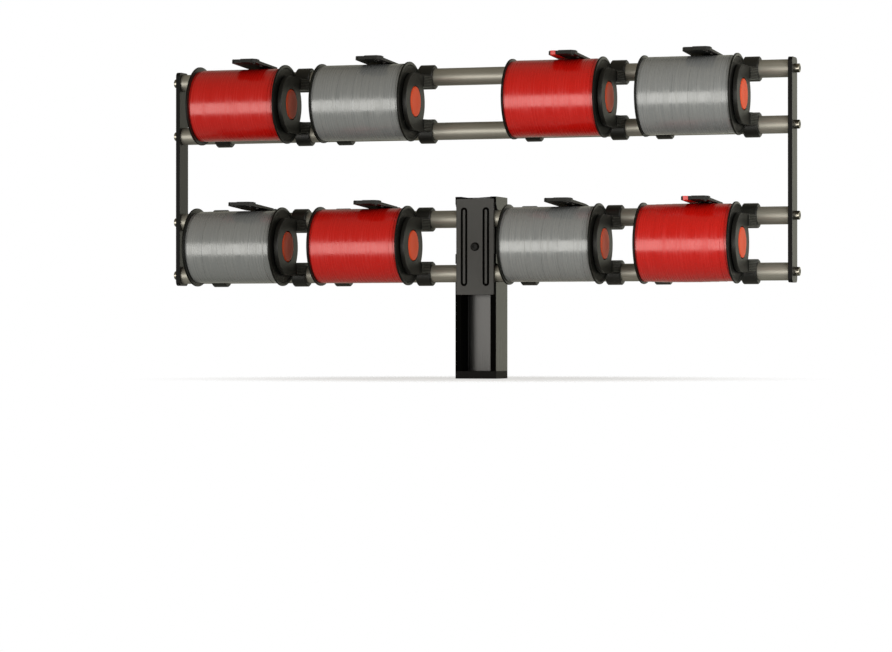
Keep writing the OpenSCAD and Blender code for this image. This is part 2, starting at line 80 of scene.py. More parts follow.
def addNode(tree, kind, settings, inputs):
    node = tree.nodes.new(kind)
    for name, value in settings.items():
        setattr(node, name, value)
    for key, value in inputs.items():
        if isinstance(value, bpy.types.NodeSocket):
            tree.links.new(value, node.inputs[key])
        else:
            node.inputs[key].default_value = value
    return node


def reckoned(tree, operation, a, b=0.0):
    return addNode(tree, "ShaderNodeMath", {"operation": operation}, {0: a, 1: b}).outputs[0]


def middleOf(node):
    low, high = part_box(node)
    return (low + high) / 2


def linkObject(name, mesh):
    piece = bpy.data.objects.new(name, mesh)
    bpy.context.scene.collection.objects.link(piece)
    return piece


def baked(piece):
    # Turns live modifiers into a plain mesh
    bpy.context.view_layer.update()
    graph = bpy.context.evaluated_depsgraph_get()
    mesh = bpy.data.meshes.new_from_object(piece.evaluated_get(graph))
    old = piece.data
    piece.modifiers.clear()
    piece.data = mesh
    bpy.data.meshes.remove(old)
    mesh.name = piece.name
    return piece


def meshFrom(name, points, faces, smoothAngle):
    mesh = bpy.data.meshes.new(name)
    mesh.from_pydata(points, [], faces)
    mesh.update()
    shape = bmesh.new()
    shape.from_mesh(mesh)
    bmesh.ops.recalc_face_normals(shape, faces=shape.faces)
    shape.to_mesh(mesh)
    shape.free()
    mesh.shade_smooth()
    mesh.set_sharp_from_angle(angle=math.radians(smoothAngle))
    return linkObject(name, mesh)


def finished(piece, material, body, nodes):
    # Paints a piece, unless its faces have their finishes already, sets it on its body and hides the CAD
    # nodes it stands for
    if material:
        piece.data.materials.clear()
        piece.data.materials.append(material)
    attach(piece, body)
    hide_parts(*nodes)


def rounding(start, corner, end, t):
    # The point at share t of a curve that leaves start towards corner and comes in at end
    return start * (1 - t) ** 2 + corner * 2 * t * (1 - t) + end * t * t


def filleted(points, radius, steps):
    # Rounds each corner of a closed outline of (a, b) pairs, by at most half of its shorter side
    rounded = []
    for i, corner in enumerate(points):
        here = Vector(corner)
        before = Vector(points[i - 1]) - here
        after = Vector(points[(i + 1) % len(points)]) - here
        cut = min(radius, before.length / 2, after.length / 2)
        start, end = here + before.normalized() * cut, here + after.normalized() * cut
        for step in range(steps + 1):
            rounded.append(tuple(rounding(start, here, end, step / steps)))
    return rounded


def lathed(name, outline, centre, segments):
    # Turns a closed outline of (x, radius) pairs round the X axis through centre
    points, faces = [], []
    for s in range(segments):
        a = 2 * math.pi * s / segments
        for x, r in outline:
            points.append((centre[0] + x, centre[1] - r * math.sin(a), centre[2] + r * math.cos(a)))
    n = len(outline)
    for s in range(segments):
        for i in range(n):
            j, t = (i + 1) % n, (s + 1) % segments
            if max(outline[i][1], outline[j][1]) > tiny:   # the side along the axis has no width
                faces.append((s * n + i, s * n + j, t * n + j, t * n + i))
    piece = meshFrom(name, points, faces, smoothAngle=35)
    shape = bmesh.new()
    shape.from_mesh(piece.data)
    bmesh.ops.remove_doubles(shape, verts=shape.verts, dist=tiny)
    bmesh.ops.dissolve_degenerate(shape, dist=tiny, edges=shape.edges)
    bmesh.ops.recalc_face_normals(shape, faces=shape.faces)
    shape.to_mesh(piece.data)
    shape.free()
    return piece


softSet = {"weld": mm / 500, "flatWithin": 0.6, "segments": 2, "sharpFrom": 38}   # angles in degrees


def softened(name, node, width):
    # A copy of a CAD node: its triangles are merged into flat faces and its edges rounded
    shape = bmesh.new()
    shape.from_mesh(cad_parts[node].data)
    bmesh.ops.remove_doubles(shape, verts=shape.verts, dist=softSet["weld"])
    bmesh.ops.dissolve_limit(
        shape, angle_limit=math.radians(softSet["flatWithin"]), verts=shape.verts, edges=shape.edges)
    shape.verts.index_update()
    points = [v.co.copy() for v in shape.verts]
    faces = [[v.index for v in f.verts] for f in shape.faces]
    shape.free()
    piece = meshFrom(name, points, faces, softSet["sharpFrom"])
    bevel = piece.modifiers.new("roundEdges", "BEVEL")
    bevel.width = width
    bevel.segments = softSet["segments"]
    bevel.limit_method = "ANGLE"
    bevel.angle_limit = math.radians(softSet["sharpFrom"])
    bevel.miter_outer = "MITER_ARC"
    weigh = piece.modifiers.new("flatFaces", "WEIGHTED_NORMAL")
    weigh.keep_sharp = True
    return baked(piece)


def joinedPiece(name, pieces):
    # One object from several, with the first one's materials
    shape = bmesh.new()
    for p in pieces:
        shape.from_mesh(p.data)
    mesh = bpy.data.meshes.new(name)
    shape.to_mesh(mesh)
    shape.free()
    for m in pieces[0].data.materials:
        mesh.materials.append(m)
    for p in pieces:
        bpy.data.objects.remove(p)
    return linkObject(name, mesh)


def newTree(name, inputs):
    # A Geometry Nodes tree with named inputs, and the sockets that carry them
    tree = bpy.data.node_groups.new(name, "GeometryNodeTree")
    tree.interface.new_socket("Geometry", in_out="INPUT", socket_type="NodeSocketGeometry")
    tree.interface.new_socket("Geometry", in_out="OUTPUT", socket_type="NodeSocketGeometry")
    for label, kind in inputs.items():
        tree.interface.new_socket(label, in_out="INPUT", socket_type="NodeSocket" + kind)
    return tree, addNode(tree, "NodeGroupInput", {}, {}).outputs


def endTree(tree, geometry, material):
    real = addNode(tree, "GeometryNodeRealizeInstances", {}, {"Geometry": geometry})
    dressed = addNode(tree, "GeometryNodeSetMaterial", {}, {
        "Geometry": real.outputs[0], "Material": material})
    addNode(tree, "NodeGroupOutput", {}, {0: dressed.outputs[0]})


def grown(name, tree, values, mesh=None):
    # Runs a tree on a mesh and keeps what it makes as a plain object
    host = linkObject(name + "Host", mesh or bpy.data.meshes.new(name + "Host"))
    modifier = host.modifiers.new("grow", "NODES")
    modifier.node_group = tree
    for item in tree.interface.items_tree:
        if item.item_type == "SOCKET" and item.in_out == "INPUT" and item.name in values:
            modifier[item.identifier] = values[item.name]
    bpy.context.view_layer.update()
    graph = bpy.context.evaluated_depsgraph_get()
    made = bpy.data.meshes.new_from_object(host.evaluated_get(graph))
    bpy.data.objects.remove(host)
    made.name = name
    return linkObject(name, made)


# Materials

def newMaterial(name, shine):
    material = bpy.data.materials.new(name)
    material.use_nodes = True
    tree = material.node_tree
    shader = tree.nodes["Principled BSDF"]
    for socket, value in shine.items():
        shader.inputs[socket].default_value = value
    place = addNode(tree, "ShaderNodeTexCoord", {}, {})
    return material, tree, shader, place.outputs["Object"]


def stretchedNoise(tree, place, size, detail, roughness):
    # Noise with features as wide as size says, in mm along X, Y and Z
    spread = addNode(tree, "ShaderNodeMapping", {}, {
        "Vector": place, "Scale": [perMetre(s) for s in size]})
    noise = addNode(tree, "ShaderNodeTexNoise", {}, {
        "Vector": spread.outputs[0], "Scale": 1.0, "Detail": detail, "Roughness": roughness})
    return noise.outputs["Fac"]


def addPaint(tree, shader, look, shade, wear, relief):
    # Colour from shade, roughness from wear over its own span, a bump from relief
    tint = addNode(tree, "ShaderNodeMix", {"data_type": "RGBA"}, {
        0: shade, 6: hexColour(look["dark"]), 7: hexColour(look["light"])})
    sheen = addNode(tree, "ShaderNodeMapRange", {}, {
        "Value": wear, "From Min": look["wearSpan"][0], "From Max": look["wearSpan"][1],
        "To Min": look["rough"][0], "To Max": look["rough"][1]})
    bump = addNode(tree, "ShaderNodeBump", {}, {
        "Strength": look["strength"], "Distance": look["depth"] * mm, "Height": relief})
    tree.links.new(tint.outputs[2], shader.inputs["Base Color"])
    tree.links.new(sheen.outputs[0], shader.inputs["Roughness"])
    tree.links.new(bump.outputs[0], shader.inputs["Normal"])


def grained(name, shine, grain):
    # One noise, stretched by grain["size"], varies colour, roughness and height
    material, tree, shader, place = newMaterial(name, shine)
    noise = stretchedNoise(tree, place, grain["size"], detail=3.0, roughness=0.6)
    addPaint(tree, shader, {"wearSpan": (0.3, 0.7), **grain}, noise, noise, noise)
    return material


def glossy(level, index=1.5):
    return {"IOR": index, "Specular IOR Level": level}


filmSet = {"crimp": 1.3, "bands": (2.6, 46, 46), "smudges": (13, 20, 20), "shadeSpan": (0.5, 1.5),
           "wearSpan": (1.2, 1.8), "strength": 0.35, "depth": 0.02}


def ribbonFilm(name, look):
    # Embossed polypropylene curling ribbon: pearly film, so part of its shine takes the film's colour.
    # Its crimped lines run with each turn, which is why every pattern is stretched round the spool.
    material, tree, shader, place = newMaterial(name, {
        "Metallic": look["pearl"], **glossy(look["gloss"])})
    along = addNode(tree, "ShaderNodeSeparateXYZ", {}, {0: place}).outputs["X"]
    crimp = addNode(tree, "ShaderNodeTexNoise", {"noise_dimensions": "1D"}, {
        "W": along, "Scale": perMetre(filmSet["crimp"]), "Detail": 2.0, "Roughness": 0.6})
    bands = stretchedNoise(tree, place, filmSet["bands"], detail=2.0, roughness=0.5)
    smudges = stretchedNoise(tree, place, filmSet["smudges"], detail=2.0, roughness=0.5)
    lines = reckoned(tree, "ADD", crimp.outputs["Fac"], bands)
    wear = reckoned(tree, "ADD", lines, smudges)
    shade = addNode(tree, "ShaderNodeMapRange", {}, {
        "Value": lines, "From Min": filmSet["shadeSpan"][0], "From Max": filmSet["shadeSpan"][1]})
    addPaint(tree, shader, {**filmSet, **look}, shade.outputs[0], wear, lines)
    return material


# A darker black with almost no shine: on the post's lips and groove walls, the clamp plate's beads and
# the end plates' edges it is painted shade
dullGrain = {"size": (0.9, 0.9, 40), "dark": "#040404", "light": "#080807",
             "rough": (0.5, 0.62), "strength": 0.15, "depth": 0.02}
mouldedGrain = {"size": (1.0, 1.0, 1.0), "dark": "#0d0e0c", "light": "#151613",
                "rough": (0.36, 0.48), "strength": 0.25, "depth": 0.04}

finishes = {
    # Aluminium extrusion, anodised black: deep black with a soft shine and faint die lines along Z
    "extrusion": grained("blackAnodisedExtrusion", glossy(0.45), {
        "size": (0.9, 0.9, 60), "dark": "#090909", "light": "#0e0e0e",
        "rough": (0.2, 0.28), "strength": 0.15, "depth": 0.02}),
    # The extrusion's lips and groove walls, and the clamp plate's pressed beads: a darker black without
    # shine, painted shade where these faces look dark
    "lip": grained("dullAnodisedLip", glossy(0.0), dullGrain),
    # The foot block, anodised black with almost no reflection; on the end plates' edges the same darker
    # black is painted shade
    "edge": grained("dullAnodisedEdge", glossy(0.12), dullGrain),
    # Blackened steel screw with a trace of oil
    "blackScrew": grained("blackenedScrew", glossy(0.2), dullGrain),
    # Flat plate, brushed along Z and anodised black: grazing light turns it grey
    "plate": grained("blackAnodisedPlate", glossy(0.35), {
        "size": (1.0, 1.0, 35), "dark": "#0a0a09", "light": "#11110f",
        "rough": (0.3, 0.4), "strength": 0.2, "depth": 0.03}),
    # Steel under dark grey powder coat: a fine even texture that spreads the light
    "greyPlate": grained("greyPowderCoat", glossy(0.25), {
        "size": (1.4, 1.4, 1.4), "dark": "#292928", "light": "#31312f",
        "rough": (0.38, 0.5), "strength": 0.25, "depth": 0.04}),
    # Drawn aluminium tube, natural anodised: long fine lines along X blur the light into soft bands
    "tube": grained("satinAluminiumTube", {"Metallic": 0.6}, {
        "size": (45, 0.8, 0.8), "dark": "#86847b", "light": "#94928a",
        "rough": (0.4, 0.48), "strength": 0.2, "depth": 0.02}),
    # Nickel-plated steel screws: near-mirror, with small tool marks
    "steel": grained("nickelPlatedSteel", {"Metallic": 1.0}, {
        "size": (0.9, 0.9, 0.9), "dark": "#7d7a70", "light": "#96938a",
        "rough": (0.14, 0.26), "strength": 0.15, "depth": 0.02}),
    # Black oxide steel: dark grey with an oily shine
    "darkSteel": grained("blackOxideSteel", {"Metallic": 0.7}, {
        "size": (0.8, 0.8, 0.8), "dark": "#191817", "light": "#24221f",
        "rough": (0.3, 0.42), "strength": 0.2, "depth": 0.02}),
    # Glass-filled nylon, moulded with a spark-eroded grain: soft shine, no mirror
    "moulding": grained("blackNylonHolder", glossy(0.34), mouldedGrain),
    # The same nylon on the grip ribs, coloured grey and shinier: painted light for the light that the
    # arms' fronts catch
    "ribs": grained("greyWornGrip", glossy(0.6), {**mouldedGrain, "dark": "#343531", "light": "#42433e"}),
    # The same nylon with a matt grain
    "cutter": grained("blackNylonCutter", glossy(0.2), mouldedGrain),
    # High-impact polystyrene, moulded smooth: a slightly glossier black with faint flow rings
    "spool": grained("blackPolystyrene", glossy(0.5, index=1.55), {
        "size": (3, 5, 5), "dark": "#0b0c0a", "light": "#11120f",
        "rough": (0.27, 0.36), "strength": 0.1, "depth": 0.03}),
    # The spools' outermost edges, in a black without shine: painted shade, so the rims show as a dark
    # outline
    "rim": grained("scuffedSpoolRim", glossy(0.08), mouldedGrain),
    # ABS in signal red, moulded with a fine matt grain
    "button": grained("redButtonPlastic", glossy(0.06), {
        "size": (0.9, 0.9, 0.9), "dark": "#cc4725", "light": "#d85230",
        "rough": (0.34, 0.44), "strength": 0.2, "depth": 0.03}),
    "red": ribbonFilm("redCurlingRibbon", {
        "dark": "#a60e08", "light": "#b0110b", "rough": (0.16, 0.34), "pearl": 0.06, "gloss": 0.52}),
    "silver": ribbonFilm("silverCurlingRibbon", {
        "dark": "#727577", "light": "#7c7e7e", "rough": (0.16, 0.36), "pearl": 0.2, "gloss": 0.5}),
}
print("materials made:", len(finishes))


def twoFinishes(piece, main, other, chosen):
    # The faces that chosen picks out get the other finish
    piece.data.materials.append(finishes[main])
    piece.data.materials.append(finishes[other])
    for face in piece.data.polygons:
        face.material_index = 1 if chosen(face) else 0


# Wound ribbon: one flat embossed tape laid in a helix, over a layer wound the other way

ribbonSet = {
    "width": 9.3 * mm, "gap": {"red": 0.0, "silver": 0.05 * mm}, "thickness": 0.28 * mm,
    "crimpPitch": 3.1 * mm, "crimpHeight": 0.012 * mm, "sectionCuts": 10, "pointsPerTurn": 76,
    "layers": ((0.5, False), (1.6, True)),   # depth in thicknesses, and whether wound the other way
    "coreDepth": 3.0, "coreSides": 96, "sharpFrom": 0.9,
    "wander": {"red": 0.05 * mm, "silver": 0.34 * mm}, "wanderScale": 90.0, "seedStep": 7.3,
    "swell": {"bottom_1": 0.3 * mm, "bottom_4": 0.8 * mm},
}


def ribbonTree():
    tree, given = newTree("windRibbon", {
        "Centre": "Vector", "Radius": "Float", "Length": "Float", "Tape width": "Float",
        "Tape thickness": "Float", "Pitch": "Float", "Swell": "Float", "Wander": "Float",
        "Crimp pitch": "Float", "Crimp height": "Float", "Points per turn": "Int",
        "Seed": "Float", "Core radius": "Float", "Material": "Material"})

    def reckon(operation, a, b=0.0):
        return reckoned(tree, operation, a, b)

    def position():
        here = addNode(tree, "GeometryNodeInputPosition", {}, {})
        return addNode(tree, "ShaderNodeSeparateXYZ", {}, {0: here.outputs[0]}).outputs

    def vector(**parts):
        return addNode(tree, "ShaderNodeCombineXYZ", {}, parts).outputs[0]

    span = reckon("SUBTRACT", given["Length"], given["Tape width"])
    turns = reckon("DIVIDE", span, given["Pitch"])

    # The tape's section: a flat rectangle whose outer side carries the crimped lines
    flat = addNode(tree, "GeometryNodeCurvePrimitiveQuadrilateral", {}, {
        "Width": given["Tape thickness"], "Height": given["Tape width"]})
    divided = addNode(tree, "GeometryNodeSubdivideCurve", {}, {
        "Curve": flat.outputs[0], "Cuts": ribbonSet["sectionCuts"]})
    spot = position()
    phase = reckon("MULTIPLY", reckon("DIVIDE", spot["Y"], given["Crimp pitch"]), 2 * math.pi)
    crest = reckon("MULTIPLY", reckon("COSINE", phase), given["Crimp height"])
    outer = reckon("GREATER_THAN", spot["X"], 0.0)
    lift = reckon("MULTIPLY", crest, reckon("MULTIPLY", outer, 0.5))
    section = addNode(tree, "GeometryNodeSetPosition", {}, {
        "Geometry": divided.outputs[0], "Offset": vector(X=lift)})

    layers = []
    for depth, reverse in ribbonSet["layers"]:
        radius = reckon("SUBTRACT", given["Radius"], reckon("MULTIPLY", given["Tape thickness"], depth))
        spiral = addNode(tree, "GeometryNodeCurveSpiral", {}, {
            "Resolution": given["Points per turn"], "Rotations": turns, "Start Radius": radius,
            "End Radius": radius, "Height": span, "Reverse": reverse})
        point = position()
        level = reckon("SUBTRACT", point["Z"], reckon("MULTIPLY", span, 0.5))
        hump = reckon("COSINE", reckon("MULTIPLY", reckon("DIVIDE", level, given["Length"]), math.pi))
        fringe = addNode(tree, "ShaderNodeTexNoise", {"noise_dimensions": "1D"}, {
            "W": reckon("ADD", reckon("MULTIPLY", level, ribbonSet["wanderScale"]),
                        reckon("ADD", given["Seed"], depth)),
            "Scale": 1.0, "Detail": 1.0})
        sway = reckon("MULTIPLY", reckon("SUBTRACT", fringe.outputs["Fac"], 0.5), given["Wander"])
        # The wander fades at both ends, so that no turn leaves its flanges
        shift = reckon("MULTIPLY", sway, reckon("MULTIPLY", hump, 2.0))
        grow = reckon("ADD", 1.0, reckon("DIVIDE", reckon("MULTIPLY", hump, given["Swell"]), radius))
        moved = addNode(tree, "GeometryNodeSetPosition", {}, {
            "Geometry": spiral.outputs[0],
            "Position": vector(X=reckon("MULTIPLY", point["X"], grow),
                               Y=reckon("MULTIPLY", point["Y"], grow),
                               Z=reckon("ADD", level, shift))})
        upright = addNode(tree, "GeometryNodeSetCurveNormal", {"mode": "Z_UP"}, {
            "Curve": moved.outputs[0]})
        swept = addNode(tree, "GeometryNodeCurveToMesh", {}, {
            "Curve": upright.outputs[0], "Profile Curve": section.outputs[0], "Fill Caps": True})
        layers.append(swept.outputs[0])

    core = addNode(tree, "GeometryNodeMeshCylinder", {}, {
        "Vertices": ribbonSet["coreSides"], "Radius": given["Core radius"],
        "Depth": reckon("SUBTRACT", given["Length"], given["Tape thickness"])})
    joined = addNode(tree, "GeometryNodeJoinGeometry", {}, {})
    for part in (*layers, core.outputs["Mesh"]):
        tree.links.new(part, joined.inputs[0])
    turned = addNode(tree, "GeometryNodeTransform", {}, {
        "Geometry": joined.outputs[0], "Translation": given["Centre"],
        "Rotation": (0, math.pi / 2, 0)})
    angle = addNode(tree, "GeometryNodeInputMeshEdgeAngle", {}, {})
    blunt = reckon("LESS_THAN", angle.outputs[0], ribbonSet["sharpFrom"])
    smooth = addNode(tree, "GeometryNodeSetShadeSmooth", {"domain": "FACE"}, {
        "Geometry": turned.outputs[0]})
    crisp = addNode(tree, "GeometryNodeSetShadeSmooth", {"domain": "EDGE"}, {
        "Geometry": smooth.outputs[0], "Shade Smooth": blunt})
    endTree(tree, crisp.outputs[0], given["Material"])
    return tree


def woundRibbon(tree, label, index):
    low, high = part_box("ribbon_" + label)
    colour = "red" if label in redSpools else "silver"
    s = ribbonSet
    swell = s["swell"].get(label, 0.0)
    radius = (high.z - low.z) / 2 - swell
    piece = grown("woundRibbon_" + label, tree, {
        "Centre": tuple(middleOf("spool_" + label)), "Radius": radius, "Length": high.x - low.x,
        "Tape width": s["width"], "Tape thickness": s["thickness"],
        "Pitch": s["width"] + s["gap"][colour], "Swell": swell, "Wander": s["wander"][colour],
        "Crimp pitch": s["crimpPitch"], "Crimp height": s["crimpHeight"],
        "Points per turn": s["pointsPerTurn"], "Seed": s["seedStep"] * index,
        "Core radius": radius - s["coreDepth"] * s["thickness"], "Material": finishes[colour]})
    finished(piece, None, "turning_spool_" + label, ["ribbon_" + label])


# Spool: a barrel and two flanges with a raised rim on the outer face

spoolSet = {"bore": 20.58 * mm, "wall": 2.4 * mm, "flange": 2.0 * mm, "rim": 3.6 * mm,
            "dish": 0.6 * mm, "edge": 0.45 * mm, "edgeSteps": 3, "segments": 128}


def spoolBody(label):
    low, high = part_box("spool_" + label)
    centre = (low + high) / 2
    half, radius = (high.x - low.x) / 2, (high.z - low.z) / 2
    s = spoolSet
    side = [
        (half - s["dish"], s["bore"]),
        (half - s["dish"], radius - s["rim"] - s["dish"]),
        (half, radius - s["rim"]),
        (half, radius),
        (half - s["flange"], radius),
        (half - s["flange"], s["bore"] + s["wall"]),
    ]
    outline = filleted(side + [(-x, r) for x, r in reversed(side)], s["edge"], s["edgeSteps"])
    piece = lathed("spool_" + label + "_moulded", outline, centre, s["segments"])
    # The outermost faces get the rim finish, which is painted shade
    twoFinishes(piece, "spool", "rim", lambda face: (face.center - centre).yz.length > radius - s["edge"])
    finished(piece, None, "turning_spool_" + label, ["spool_" + label])


# Push button: a dished head on its rod, with the spreading plug at the other end

buttonSet = {
    "inset": 0.7 * mm, "sunk": 0.9 * mm, "head": 3.5 * mm, "dish": 0.35 * mm, "edge": 0.8 * mm,
    "crown": ((0.0, 1.0), (0.45, 0.8), (0.86, 0.0)),   # shares of the head's radius and of the dish
    "corner": (0.25, 0.45),                            # shares of the edge, along X and outwards
    "rod": 3.5 * mm, "plug": 5.6 * mm, "plugFull": 0.6, "plugEdge": 0.3 * mm,
    "plugTaper": 2.0 * mm, "plugHollow": 1.6 * mm, "segments": 96,
}


def pushButton(label):
    low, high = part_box("button_" + label)
    half, radius = (high.x - low.x) / 2, (high.z - low.z) / 2
    s = buttonSet
    head, face = radius - s["inset"], half - s["sunk"]
    outline = [(face - s["dish"] * sink, head * reach) for reach, sink in s["crown"]] + [
        (face - s["edge"] * s["corner"][0], head - s["edge"] * s["corner"][1]),
        (face - s["edge"], head),
        (half - s["head"], head),
        (half - s["head"], s["rod"]),
        (s["plug"] - half, s["rod"]),
        (s["plug"] * s["plugFull"] - half, radius),
        (s["plugEdge"] - half, radius),
        (-half, radius - s["plugTaper"]),
        (s["plugHollow"] - half, s["rod"]),
        (s["plugHollow"] - half, 0.0),
    ]
    piece = lathed("button_" + label + "_moulded", outline, (low + high) / 2, s["segments"])
    finished(piece, finishes["button"], "push_button_" + label, ["button_" + label])


# Screws: each kind is one turned head with a hex socket, set on points

screwSet = {
    "end": {"head": 5.0 * mm, "height": 6.0 * mm, "socket": 2.9 * mm, "depth": 3.0 * mm,
            "shank": 3.0 * mm, "reach": 14.0 * mm, "knurled": True, "edge": 0.9 * mm},
    "grip": {"head": 3.5 * mm, "height": 3.0 * mm, "socket": 1.6 * mm, "depth": 1.8 * mm,
             "shank": 2.0 * mm, "reach": 8.2 * mm, "knurled": False, "edge": 0.5 * mm},
    "foot": {"head": 5.0 * mm, "height": 3.0 * mm, "socket": 2.9 * mm, "depth": 1.5 * mm,
             "shank": 3.0 * mm, "reach": 9.0 * mm, "knurled": False, "edge": 0.8 * mm},
    "clamp": {"head": 4.9 * mm, "height": 2.8 * mm, "socket": 2.2 * mm, "depth": 1.8 * mm,
              "shank": 3.0 * mm, "reach": 14.0 * mm, "knurled": False, "edge": 2.0 * mm},
}
screwMake = {"segments": 60, "edgeSteps": 5, "tip": 0.3 * mm, "knurlShare": 0.965}
gripPlace = {"pastSpool": 3 * mm, "withinRow": 60 * mm}


def screwPattern(name, size):
    # One screw along +X: its seat is at 0, its head reaches to -height and its shank to +reach
    segments, steps, tip = screwMake["segments"], screwMake["edgeSteps"], screwMake["tip"]
    top, bottom = -size["height"], size["depth"] - size["height"]
    rings = [
        (size["reach"], size["shank"] - tip), (size["reach"] - tip, size["shank"]),
        (0.0, size["shank"]), (0.0, size["head"]),
    ]
    for i in range(steps + 1):
        a = math.pi / 2 * i / steps
        rings.append((top + size["edge"] * (1 - math.sin(a)),
                      size["head"] - size["edge"] * (1 - math.cos(a))))
    rings += [(top, size["socket"]), (bottom, size["socket"])]
    points, faces = [(size["reach"], 0, 0), (bottom, 0, 0)], []
    for k, (x, ring) in enumerate(rings):
        for s in range(segments):
            a, r = 2 * math.pi * s / segments, ring
            if k >= len(rings) - 2:   # a hexagon's reach at this angle
                r = ring * math.cos(math.pi / 6) / math.cos((a % (math.pi / 3)) - math.pi / 6)
            elif size["knurled"] and ring == size["head"] and s % 2:
                r = ring * screwMake["knurlShare"]
            points.append((x, r * math.cos(a), r * math.sin(a)))
    for k in range(len(rings) - 1):
        for s in range(segments):
            t = (s + 1) % segments
            a, b = 2 + k * segments, 2 + (k + 1) * segments
            faces.append((a + s, a + t, b + t, b + s))
    last = 2 + (len(rings) - 1) * segments
    for s in range(segments):
        t = (s + 1) % segments
        faces += [(0, 2 + t, 2 + s), (1, last + s, last + t)]
    return meshFrom(name, points, faces, smoothAngle=35)


def patternTree():
    tree, given = newTree("patternsOnPoints", {
        "Pattern": "Object", "Turn": "Rotation", "Spin": "Float", "Seed": "Int", "Material": "Material"})
    pattern = addNode(tree, "GeometryNodeObjectInfo", {}, {"Object": given["Pattern"]})
    # Each copy stops at its own angle about its own axis, as screws do
    angle = addNode(tree, "FunctionNodeRandomValue", {"data_type": "FLOAT"}, {
        2: 0.0, 3: given["Spin"], "Seed": given["Seed"]})
    spin = addNode(tree, "ShaderNodeCombineXYZ", {}, {"X": angle.outputs[1]})
    placed = addNode(tree, "GeometryNodeInstanceOnPoints", {}, {
        "Points": given["Geometry"], "Instance": pattern.outputs["Geometry"], "Rotation": given["Turn"]})
    turned = addNode(tree, "GeometryNodeRotateInstances", {}, {
        "Instances": placed.outputs[0], "Rotation": spin.outputs[0], "Local Space": True})
    endTree(tree, turned.outputs[0], given["Material"])
    return tree


def onPoints(name, tree, pattern, spots, values):
    # Copies of a pattern on points, as one plain object
    mesh = bpy.data.meshes.new(name)
    mesh.from_pydata(spots, [], [])
    piece = grown(name, tree, {"Pattern": pattern, **values}, mesh)
    bpy.data.objects.remove(pattern)
    return piece


def screws(name, tree, kind, spots, turn, finish):
    return onPoints(name, tree, screwPattern(name + "Pattern", screwSet[kind]), spots, {
        "Turn": (0, 0, turn), "Spin": math.pi / 3, "Seed": len(spots), "Material": finishes[finish]})


def allScrews(tree):
    heights = [middleOf(tube).z for tube in tubes]
    leftFace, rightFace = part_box("end_plate_left")[0].x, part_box("end_plate_right")[1].x
    y = middleOf("end_plate_left").y
    left = screws("leftEndScrews", tree, "end", [(leftFace, y, z) for z in heights], 0, "steel")
    right = screws("rightEndScrews", tree, "end", [(rightFace, y, z) for z in heights], math.pi, "steel")
    ends = joinedPiece("endScrewsKnurled", [left, right])
    finished(ends, None, fixedBody, ["end_screws"])

    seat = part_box("holder_screws")[1].y - screwSet["grip"]["height"]
    spots = []
    for label in labels:
        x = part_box("spool_" + label)[1].x + gripPlace["pastSpool"]
        middle = middleOf("spool_" + label).z
        spots += [(x, seat, z) for z in heights if abs(z - middle) < gripPlace["withinRow"]]
    grips = screws("gripScrews", tree, "grip", spots, -math.pi / 2, "darkSteel")
    finished(grips, None, fixedBody, ["holder_screws"])

    low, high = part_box("foot_screws")
    seat = high.y - screwSet["foot"]["height"]
    spots = [(x, seat, (low.z + high.z) / 2)
             for x in (low.x + screwSet["foot"]["head"], high.x - screwSet["foot"]["head"])]
    feet = screws("footScrewsTurned", tree, "foot", spots, -math.pi / 2, "darkSteel")
    finished(feet, None, fixedBody, ["foot_screws"])

    low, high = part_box("clamp_screw")
    spot = (0.0, low.y + screwSet["clamp"]["height"], (low.z + high.z) / 2)
    clamp = screws("clampScrewDomed", tree, "clamp", [spot], math.pi / 2, "blackScrew")
    finished(clamp, None, fixedBody, ["clamp_screw"])


# Frame: post, plates, foot and tubes

frameSet = {
    "rounds": {"post": 0.5 * mm, "clamp": 0.35 * mm, "foot": 0.5 * mm, "plate": 0.7 * mm},
    "facing": 0.5, "plateFacing": 0.3,   # a face looks along an axis if its normal has this much of it
    "lips": 0.6 * mm,                    # the lips are the faces this near the post's front
    "beadDepths": (0.2 * mm, 1.6 * mm), "beadSide": 19 * mm, "beadEnds": 6 * mm,
}


def framePieces():
    s, rounds = frameSet, frameSet["rounds"]
    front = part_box("post")[0].y
    low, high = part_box("clamp_plate")

    # Painted shade: the post's lips and the walls inside its groove get the darker black without shine
    def dull(face):   # the post's lips and the inside of its groove
        lips = face.center.y < front + s["lips"] and face.normal.y < -s["facing"]
        inside = abs(face.normal.x) > s["facing"] and face.center.x * face.normal.x < 0
        return lips or inside

    def beads(face):   # painted shade, laid in the plate's pressed grooves
        sunk = low.y + s["beadDepths"][0] < face.center.y < low.y + s["beadDepths"][1]
        return (sunk and abs(face.center.x) < s["beadSide"]
                and low.z + s["beadEnds"] < face.center.z < high.z - s["beadEnds"])

    post = softened("post_extruded", "post", rounds["post"])
    twoFinishes(post, "extrusion", "lip", dull)
    finished(post, None, fixedBody, ["post"])
    clamp = softened("clamp_plate_coated", "clamp_plate", rounds["clamp"])
    twoFinishes(clamp, "greyPlate", "lip", beads)
    finished(clamp, None, fixedBody, ["clamp_plate"])
    foot = softened("foot_block_milled", "foot_block", rounds["foot"])
    finished(foot, finishes["edge"], fixedBody, ["foot_block"])
    for side in ("left", "right"):
        plate = softened("end_plate_%s_anodised" % side, "end_plate_" + side, rounds["plate"])
        # The edge all round gets a darker black without shine than the two faces: painted shade
        twoFinishes(plate, "plate", "edge", lambda face: abs(face.normal.x) < s["plateFacing"])
        finished(plate, None, fixedBody, ["end_plate_" + side])


def carriedOver():
    # CAD nodes shown as they are, with their own finish
    kept = {"tube_plugs": ("steel", "bright_steel"), "clamp_block": ("plate", "black_aluminium"),
            "cutter_blades": ("darkSteel", "black_steel"), "blade_screws": ("darkSteel", "black_steel")}
    for tube in tubes:
        kept[tube] = ("tube", "satin_aluminium")
    for node, (finish, slot) in kept.items():
        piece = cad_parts[node]
        piece.data.materials.clear()
        piece.data.materials.append(finishes[finish])


# Holders: the moulding, with a row of grip ribs across the front of each arm, and its cutter

